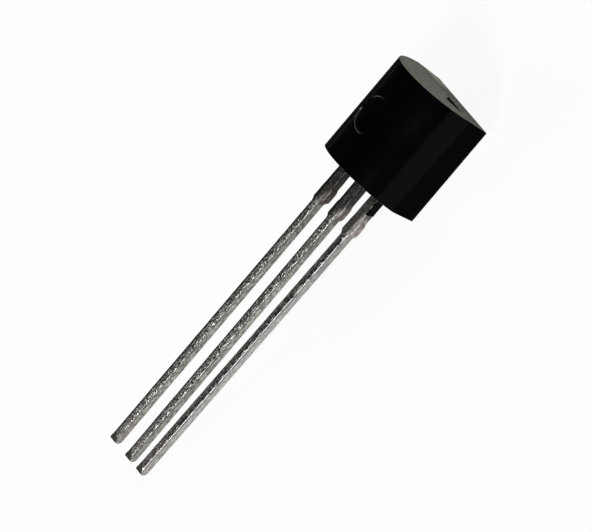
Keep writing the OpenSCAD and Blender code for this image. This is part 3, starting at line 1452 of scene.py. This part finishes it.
        with editing(piece):
            pick(piece, Part.EDGES, long_edge)
            bpy.ops.mesh.bevel(offset=self.edge, segments=self.edge_segments, affect="EDGES",
                               clamp_overlap=False)

    def shear_tip(self, piece: Object, lead: Lead) -> None:
        """Cuts a lead's end as the shears did: sloped on one face, drawn in on the other.

        Args:
            piece: The lead's mesh object.
            lead: The lead.
        """
        frame = self.local(lead)
        with editing(piece):
            for y, height, away in (
                    (self.front, self.tip_slope_height,
                     (0, self.tip_slope_height, -self.tip_slope_depth)),
                    (self.back, self.tip_draw_height,
                     (0, -self.tip_draw_height, -self.tip_draw_depth))):
                slice_off(frame @ Vector((0, y, -self.length + height)),
                          frame.to_3x3() @ Vector(away))

    def build(self, lead: Lead) -> Object:
        """Models one lead, upright, with smooth sides.

        Args:
            lead: The lead.

        Returns:
            The mesh object.
        """
        piece = self.draw_out(lead)
        self.add_block(piece, lead)
        self.round_edges(close_up(piece))
        self.shear_tip(piece, lead)
        return close_up(piece)

    def finish(self, piece: Object) -> None:
        """Shades a lead, and makes what shows of it as uneven as a plated strip.

        Args:
            piece: The lead's mesh object, upright.
        """
        group = piece.vertex_groups.new(name="outside")
        low = self.base - self.length + 2 * self.tip_draw_height
        high = self.base - self.plain_root
        group.add([v.index for v in piece.data.vertices if low < v.co.z < high], 1.0,
                  "REPLACE")
        texture = bpy.data.textures.new("uneven_plating", "CLOUDS")
        texture.noise_scale = self.wave_size
        finish_with(piece, "DISPLACE", texture=texture, strength=self.waviness,
                    mid_level=self.wave_level, texture_coords="LOCAL",
                    vertex_group=group.name)
        piece.vertex_groups.clear()
        smooth(piece, self.crease)
        even_normals(piece)


# ---- Moulded body ----


@dataclass(frozen=True)
class MouldedBody:
    """The resin body, with the marks that its mould left. Millimetres and degrees."""

    height: float = 4.63
    back_radius: float = 2.24
    back_middle: float = 0.055
    flat_depth: float = 1.24
    flat_width: float = 4.12
    front_draft: float = 2.5
    back_draft: float = 1.6
    edge: float = 0.025
    edge_segments: int = 3
    edge_angle: float = 30.0
    crease: float = 35.0
    facets: int = 320
    spare: float = 1.0
    lap: float = 0.05
    mark_radius: float = 0.8
    mark_depth: float = 0.03
    mark_facets: int = 128
    mark_rings: tuple[float, ...] = (0.02, 0.14, 0.27, 0.4, 0.53, 0.66, 0.79, 0.9)
    mark_wall: tuple[Span, ...] = ((-0.02, 1.0), (-0.008, 0.8), (0.0, 0.5))
    mark_reach: float = 0.1
    lip_width: float = 0.05
    lip_height: float = 0.02
    lip_crown: tuple[Span, ...] = ((0.2, 1.0), (0.5, 1.0), (0.8, 0.6))
    lip_shoulder: float = 0.6
    lip_lap: float = 0.002
    lip_root: float = 0.06
    lip_low_side: float = 20.0
    lip_low_reach: float = 90.0
    lip_low_blend: float = 25.0
    lip_low_share: float = 0.1
    gate_start: float = 0.82
    gate_length: float = 0.72
    gate_width: float = 0.43
    gate_height: float = 0.1
    gate_level: float = 0.4
    gate_tip: float = 0.2
    gate_cuts: int = 7
    gate_calm: float = 0.04
    gate_rough_from: float = 0.02
    gate_rough: float = 0.012
    gate_seed: int = 5
    flash_thickness: float = 0.04
    flash_length: float = 0.8
    flash_root: float = 0.2
    flash_slant: float = 0.1
    flash_inset: Span = (0.7, 0.1)
    flash_cuts: int = 11
    flash_calm: float = 0.005
    flash_rough_to: float = 0.16
    flash_rough: float = 0.02
    flash_even: float = 0.6
    flash_seed: int = 11
    finish: EpoxyFinish = EpoxyFinish()

    @property
    def top(self) -> float:
        """Z of the ridge at the upper end."""
        return self.height / 2

    @property
    def bottom(self) -> float:
        """Z of the ridge at the lower end."""
        return -self.height / 2

    @property
    def lower_edge(self) -> float:
        """Z of the flat face's lower edge."""
        return self.bottom + self.flat_depth * math.tan(math.radians(self.front_draft))

    def block(self) -> Object:
        """The D-shaped block: half a cylinder, drawn forwards to the flat and drafted.

        Returns:
            The mesh object.
        """
        bpy.ops.mesh.primitive_cylinder_add(vertices=self.facets, radius=self.back_radius,
                                            depth=self.height + self.spare,
                                            location=(0, self.back_middle, 0))
        piece = bpy.context.object
        with editing(piece):
            slice_off((0, self.back_middle, 0), (0, 1, 0))
        settle(piece)
        with editing(piece):
            pick(piece, Part.FACES, lambda f: f.normal.y > ALONG)
            push((0, self.flat_depth - self.back_middle, 0))
            widen((self.flat_width / (2 * self.back_radius), 1, 1))
            for end in (1, -1):
                for side, draft in ((1, self.front_draft), (-1, self.back_draft)):
                    slope = math.radians(draft)
                    slice_off((0, 0, end * self.top),
                              (0, side * math.sin(slope), end * math.cos(slope)))
        return close_up(piece)

    def onto_back(self, piece: Object) -> Object:
        """Wraps a piece, drawn with its height over the back along -Y, onto the round back.

        Args:
            piece: The mesh object.

        Returns:
            The same piece, closed up.
        """
        for vertex in piece.data.vertices:
            radius = self.back_radius - vertex.co.y
            vertex.co.y = self.back_middle - math.sqrt(radius**2 - vertex.co.x**2)
        return close_up(piece)

    def turned(self, profile: Sequence[Span]) -> Object:
        """An open round piece on the back.

        Args:
            profile: Its radius and its height over the back, from one rim to the other.

        Returns:
            The mesh object.
        """
        (radius, height), *others = profile
        bpy.ops.mesh.primitive_circle_add(vertices=self.mark_facets, radius=radius,
                                          fill_type="NOTHING", location=(0, 0, 0),
                                          rotation=(math.pi / 2, 0, 0))
        piece = bpy.context.object
        settle(piece)
        with editing(piece):
            shift((0, -height, 0))
            for next_radius, next_height in others:
                push((0, height - next_height, 0))
                widen((next_radius / radius, 1, next_radius / radius))
                radius, height = next_radius, next_height
        return piece

    def mark_tool(self) -> Object:
        """The sunk disc of the ejector pin's mark, as a cutting tool.

        Returns:
            The mesh object.
        """
        r, depth, over = self.mark_radius, self.mark_depth, self.mark_reach
        rings = [r * share for share in self.mark_rings]
        piece = self.turned([(x, -depth) for x in rings]
                            + [(r + step, -depth * share) for step, share in self.mark_wall]
                            + [(r, over)] + [(x, over) for x in reversed(rings)])
        with editing(piece):
            for level in (depth, -over):
                pick(piece, Part.EDGES, lambda e, y=level: e.is_boundary
                     and abs(e.verts[0].co.y - y) < NEARLY)
                bpy.ops.mesh.edge_face_add()
        return self.onto_back(piece)

    def lip_share(self, x: float, z: float) -> float:
        """How much of the lip's height is left at a place round the mark.

        Args:
            x: Where that is along X.
            z: Where that is along Z.

        Returns:
            The share, from lip_low_share to 1.
        """
        turn = (math.degrees(math.atan2(z, x)) - self.lip_low_side + 180) % 360 - 180
        worn = ease((self.lip_low_reach - abs(turn)) / self.lip_low_blend)
        return 1 - (1 - self.lip_low_share) * worn

    def lip_tool(self) -> Object:
        """The thin lip round that mark, as a piece to add.

        Returns:
            The mesh object.
        """
        inner, outer = self.mark_radius - self.lip_lap, self.mark_radius + self.lip_width
        crown = [(self.mark_radius + self.lip_width * across, self.lip_height * up)
                 for across, up in self.lip_crown]
        piece = self.turned([(inner, -self.lip_root),
                             (inner, self.lip_shoulder * self.lip_height), *crown,
                             (outer, -self.lip_lap), (outer, -self.lip_root)])
        with editing(piece):
            pick(piece, Part.EDGES, lambda e: e.is_boundary)
            bpy.ops.mesh.bridge_edge_loops()
        for vertex in piece.data.vertices:
            if vertex.co.y < 0:
                vertex.co.y *= self.lip_share(vertex.co.x, vertex.co.z)
        return self.onto_back(piece)

    def gate_tool(self) -> Object:
        """The stub where the gate broke off, as a wedge to add, with a rough skin.

        Returns:
            The mesh object.
        """
        left, right = self.gate_start, self.gate_start + self.gate_length
        peak, level = self.top + self.gate_height, left + self.gate_level * self.gate_length
        piece = brick((left, -self.gate_width, self.top - self.lap), (right, 0, peak))
        with editing(piece):
            slice_off((left, -self.gate_width, 0),
                      ((1 - self.gate_tip) * self.gate_width, -self.gate_length, 0))
            slice_off((level, 0, peak),
                      ((1 - self.gate_tip) * self.gate_height, 0, right - level))
            bpy.ops.mesh.select_all(action="SELECT")
            bpy.ops.mesh.subdivide(number_cuts=self.gate_cuts)
            pick(piece, Part.VERTS, lambda v: v.co.z > self.top + self.gate_rough_from
                 and v.co.x < right - self.gate_calm)
            bpy.ops.transform.vertex_random(offset=self.gate_rough, uniform=1.0, normal=0.0,
                                            seed=self.gate_seed)
            shift((0, 0, -self.gate_rough))
        return close_up(piece)

    def flash_tool(self, leads: LeadFrame) -> Object:
        """The skin of resin down the side of the last lead, with a ragged lower edge.

        Args:
            leads: The lead frame.

        Returns:
            The mesh object.
        """
        lead = leads.leads[-1]
        inner = lead.root_offset + leads.root_width / 2
        front = leads.front - self.flash_inset[0] * leads.edge
        back = leads.back + self.flash_inset[1] * leads.edge
        low = -self.flash_length
        piece = brick((inner - self.lap, back, low),
                      (inner + self.flash_thickness, front, self.flash_root))
        with editing(piece):
            pick(piece, Part.VERTS, lambda v: v.co.z < low + self.flash_slant / 2
                 and v.co.y > (front + back) / 2)
            shift((0, 0, self.flash_slant))
            bpy.ops.mesh.select_all(action="SELECT")
            bpy.ops.mesh.subdivide(number_cuts=self.flash_cuts)
            pick(piece, Part.VERTS, lambda v: v.co.z < low + self.flash_rough_to
                 and v.co.x > inner + self.flash_calm)
            bpy.ops.transform.vertex_random(offset=self.flash_rough, uniform=self.flash_even,
                                            normal=0.0, seed=self.flash_seed)
        piece.matrix_world = leads.local(lead)
        settle(piece)
        return close_up(piece)

    def build(self, leads: LeadFrame, cutters: Sequence[Object]) -> Object:
        """Models the body, upright.

        Args:
            leads: The lead frame's sizes.
            cutters: What the resin flowed round, which leaves its place in the body.

        Returns:
            The mesh object.
        """
        piece = self.block()
        finish_with(piece, "BEVEL", width=self.edge, segments=self.edge_segments,
                    limit_method="ANGLE", angle_limit=math.radians(self.edge_angle))
        for tool, how in ((self.lip_tool(), Join.ADD), (self.mark_tool(), Join.CUT),
                          (self.gate_tool(), Join.ADD), (self.flash_tool(leads), Join.ADD),
                          *((cutter, Join.CUT) for cutter in cutters)):
            combine(piece, tool, how)
        self.shade(piece)
        return piece

    def shade(self, piece: Object) -> None:
        """Shades the body smooth, but keeps its sharp edges and the ridges of its ends.

        Args:
            piece: The body's mesh object.
        """
        smooth(piece, self.crease)
        places = [v.co for v in piece.data.vertices]
        ridge = [abs(place.y) < NEARLY and abs(abs(place.z) - self.top) < NEARLY
                 for place in places]
        sharp = piece.data.attributes.get("sharp_edge") or piece.data.attributes.new(
            "sharp_edge", "BOOLEAN", "EDGE")
        for edge in piece.data.edges:
            if all(ridge[v] for v in edge.vertices):
                sharp.data[edge.index].value = True
        even_normals(piece)


def rest_of(body: MouldedBody, leads: LeadFrame) -> Rest:
    """Works out how the package lies on its flat face.

    Args:
        body: The moulded body.
        leads: The lead frame.

    Returns:
        Its tilt and its place on the ground.
    """
    lead_end = body.bottom - leads.length
    heel = lead_end + leads.tip_slope_height
    tilt = math.atan((body.flat_depth - leads.front) / (body.lower_edge - heel))
    far = max((body.top + body.gate_height) * math.cos(tilt),
              -body.lower_edge * math.cos(tilt) + body.flat_depth * math.sin(tilt))
    near = lead_end * math.cos(tilt) + (leads.back + leads.tip_draw_depth) * math.sin(tilt)
    ground = body.lower_edge * math.sin(tilt) - body.flat_depth * math.cos(tilt)
    return Rest(tilt, (far + near) / 2, ground)


# ---- Chip and wires ----


SILICON = HiddenFinish("silicon", (0.05, 0.055, 0.075), (0.09, 0.08, 0.1), roughness=0.2,
                       metallic=0.3)
SOLDER = HiddenFinish("chip_solder", (0.45, 0.45, 0.46), (0.3, 0.3, 0.31), roughness=0.5,
                      metallic=1.0)
GOLD = HiddenFinish("bond_wire", (0.85, 0.6, 0.28), (0.7, 0.48, 0.2), roughness=0.3,
                    metallic=1.0)


@dataclass(frozen=True)
class Inside:
    """What the resin hides: the CAD solids, which stay and get their finishes."""

    nodes: dict[str, Object]
    rest: Rest
    finishes: tuple[tuple[str, HiddenFinish], ...] = (
        ("chip", SILICON), ("chip_solder", SOLDER), ("base_wire", GOLD),
        ("emitter_wire", GOLD))
    gap: float = 1e-4

    def cutters(self) -> list[Object]:
        """Merged copies of the hidden solids, upright, to cut their places in the resin.

        Returns:
            The mesh objects.
        """
        made = []
        for name, _ in self.finishes:
            twin = copy_of(self.nodes[name], f"{name}_place")
            twin.matrix_world = self.rest.matrix().inverted()
            settle(twin)
            made.append(close_up(twin, self.gap))
        return made

    def dress(self) -> None:
        """Gives each hidden solid its finish."""
        made = {finish: finish.make(self.rest.matrix()) for _, finish in self.finishes}
        for name, finish in self.finishes:
            wear(self.nodes[name], made[finish])
            log.info("%s wears %s", name, finish.name)


# ---- Studio ----


@dataclass(frozen=True)
class Lamp:
    """A soft box: where it hangs, seen from the part, how wide it is and what it gives."""

    name: str
    towards: Triple
    size: float
    power: float
    distance: float = 0.4

    def hang(self) -> None:
        """Makes the soft box and turns it to the part."""
        data = bpy.data.lights.new(self.name, "AREA")
        data.shape = "RECTANGLE"
        data.size = data.size_y = self.size
        data.energy = self.power
        lamp, towards = add_object(self.name, data), Vector(self.towards).normalized()
        lamp.location = towards * self.distance
        lamp.rotation_mode = "QUATERNION"
        lamp.rotation_quaternion = towards.to_track_quat("Z", "Y")
        log.info("lamp %s hung", self.name)


@dataclass(frozen=True)
class Camera:
    """A long lens over the part. Degrees, and millimetres of the upright part.

    The azimuth turns from behind the round back, the elevation is over the row's own plane,
    and turn and roll are how far the picture is turned. Focal is the focal length in widths
    of the picture.
    """

    distance: float = 600.0
    focal: float = 15520.975817 / 592
    azimuth: float = 47.472265
    elevation: float = 9.215926
    roll: float = -0.279419
    turn: float = math.degrees(math.atan2(0.65, 0.76))
    shift_right: float = -0.013867
    shift_up: float = -6.540745
    sensor: float = 36.0
    clip: Span = (0.01, 5.0)

    def place(self, rest: Rest) -> None:
        """Makes the camera and points it.

        Args:
            rest: How the package lies.
        """
        a, e = math.radians(self.azimuth), math.radians(self.elevation)
        right = Vector((math.cos(a), math.sin(a), 0))
        ahead = Vector((-math.sin(a) * math.cos(e), math.cos(a) * math.cos(e), -math.sin(e)))
        over = Vector((-math.sin(a) * math.sin(e), math.cos(a) * math.sin(e), math.cos(e)))
        eye = -ahead * self.distance + right * self.shift_right + over * self.shift_up
        turn = math.radians(self.turn + self.roll)
        across = right * math.cos(turn) + over * math.sin(turn)
        upwards = over * math.cos(turn) - right * math.sin(turn)
        data = bpy.data.cameras.new("camera")
        data.sensor_width = self.sensor
        data.lens = self.focal * self.sensor
        data.clip_start, data.clip_end = self.clip
        camera = add_object("camera", data)
        axes = [rest.direction(axis) for axis in (across, upwards, -ahead)]
        frame = Matrix(axes).transposed().to_4x4()
        frame.translation = rest.matrix() @ eye
        camera.matrix_world = frame
        bpy.context.scene.camera = camera


@dataclass(frozen=True)
class Floor:
    """Pale floor: white to the eye and in reflections, but with the part's shadow.

    Dark patches painted on its left side and beside the part show in gloss alone, as painted
    dark reflections in place of a flag and a card round a glossy black part. Places are in
    metres.
    """

    size: float = 3.0
    colour: Colour = (0.86, 0.86, 0.86)
    white: Colour = (1.0, 1.0, 1.0)
    glow: float = 0.92
    gleam: float = 0.2
    # Painted reflections: dark zones that only gloss sees, in place of a flag and a card.
    flag: Colour = (0.03, 0.03, 0.03)
    flag_zone: Zone = (("x", -0.0022, -0.0026),)
    near: Colour = (0.16, 0.16, 0.14)
    near_zone: Zone = (("x", -0.0085, -0.005),)
    card: Colour = (0.17, 0.17, 0.16)
    card_zone: Zone = (("x", 0.0017, 0.0023), ("x", 0.005, 0.0035), ("y", 0.0044, 0.0048))

    def material(self) -> Material:
        """Builds the floor's material.

        Returns:
            The material.
        """
        material = bpy.data.materials.new("pale_floor")
        material.use_nodes = True
        graph = Graph(material.node_tree)
        graph.tree.nodes.clear()
        camera, glossy, clear = (
            graph.result("ShaderNodeLightPath", output=f"Is {kind} Ray")
            for kind in ("Camera", "Glossy", "Transmission"))
        here = Place(graph.result("ShaderNodeTexCoord", output="Object"))
        card = here.zone(self.card_zone)
        flag = here.zone(self.flag_zone) | card
        glow = (camera | clear) * self.glow | glossy * flag.mix(self.gleam, 1.0)
        dark = graph.paint(self.flag, (here.zone(self.near_zone), self.near),
                           (card, self.card))
        plain = graph.result("ShaderNodeBsdfDiffuse", self.colour)
        white = graph.result("ShaderNodeEmission",
                             graph.paint(self.white, (glossy * flag, dark)))
        above = graph.result("ShaderNodeMixShader", glow, plain, white)
        below = graph.result("ShaderNodeBsdfTransparent")
        behind = graph.result("ShaderNodeNewGeometry", output="Backfacing")
        graph.node("ShaderNodeOutputMaterial",
                   graph.result("ShaderNodeMixShader", behind, above, below))
        return material

    def lay(self) -> None:
        """Lays the floor."""
        bpy.ops.object.select_all(action="DESELECT")
        bpy.ops.mesh.primitive_plane_add(size=self.size, location=(0, 0, 0))
        floor = bpy.context.object
        floor.name = "floor"
        wear(floor, self.material())


@dataclass(frozen=True)
class Studio:
    """Floor, soft boxes and a plain room, which is pale at eye level and dim overhead."""

    pale: Colour = (0.9, 0.9, 0.9)
    dim: Colour = (0.06, 0.06, 0.062)
    seen: Colour = (0.97, 0.97, 0.97)
    edge: Span = (0.05, 0.12)
    lean: float = 0.07
    floor: Floor = Floor()
    lamps: tuple[Lamp, ...] = (
        Lamp("key", towards=(-0.4, 0.8, 0.38), size=0.16, power=1.0),
        Lamp("fill", towards=(-0.55, -0.68, 0.5), size=0.12, power=0.5),
        Lamp("edge_light", towards=(0.6, -0.52, 0.61), size=0.08, power=1.4),
    )
    camera: Camera = Camera()

    def room(self) -> None:
        """Paints the room."""
        world = bpy.data.worlds.new("room")
        bpy.context.scene.world = world
        world.use_nodes = True
        graph = Graph(world.node_tree)
        right, _, height = graph.result("ShaderNodeTexCoord", output="Generated").split()
        overhead = right.maths("MULTIPLY_ADD", -self.lean, height).ramp(*self.edge)
        camera = graph.result("ShaderNodeLightPath", output="Is Camera Ray")
        graph.fill(world.node_tree.nodes["Background"], {
            "Color": graph.paint(self.pale, (overhead, self.dim), (camera, self.seen))})

    def build(self, rest: Rest) -> None:
        """Sets the scene up and leaves its camera in place.

        Args:
            rest: How the package lies.
        """
        bpy.context.scene.view_settings.view_transform = "Standard"
        self.floor.lay()
        self.room()
        for lamp in self.lamps:
            lamp.hang()
        self.camera.place(rest)


# ---- The whole ----


def hand_in(piece: Object, name: str, node: str) -> None:
    """Names a finished piece and ties it to the CAD solid that it stands for.

    Args:
        piece: The mesh object.
        name: Its name.
        node: The CAD solid's name.
    """
    piece.name = name
    piece.data.name = name
    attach(piece, "root")
    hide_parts(node)
    log.info("%s: %d faces, for %s", name, len(piece.data.polygons), node)


def build_leads(leads: LeadFrame, rest: Rest) -> list[Object]:
    """Makes and dresses the three leads.

    Args:
        leads: The lead frame.
        rest: How the package lies.

    Returns:
        Upright, even copies of the leads, to cut their places in the resin.
    """
    places = []
    for lead in leads.leads:
        piece = leads.build(lead)
        places.append(copy_of(piece, f"{lead.name}_place"))
        leads.finish(piece)
        rest.lay(piece)
        wear(piece, lead.finish.make(rest.matrix() @ leads.local(lead), lead, leads))
        hand_in(piece, f"{lead.name}_lead_tinned", f"{lead.name}_lead")
    return places


def main() -> None:
    """Builds the transistor and its studio."""
    logging.basicConfig(level=logging.INFO, format="%(name)s: %(message)s")
    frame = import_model()
    body = MouldedBody()
    leads = LeadFrame(base=body.bottom)
    rest = rest_of(body, leads)
    inside = Inside(frame["nodes"], rest)
    places = build_leads(leads, rest)
    resin = body.build(leads, places + inside.cutters())
    rest.lay(resin)
    wear(resin, body.finish.make(rest.matrix(), body))
    hand_in(resin, "epoxy_body", "moulded_body")
    inside.dress()
    Studio().build(rest)


if __name__ == "__main__":
    main()
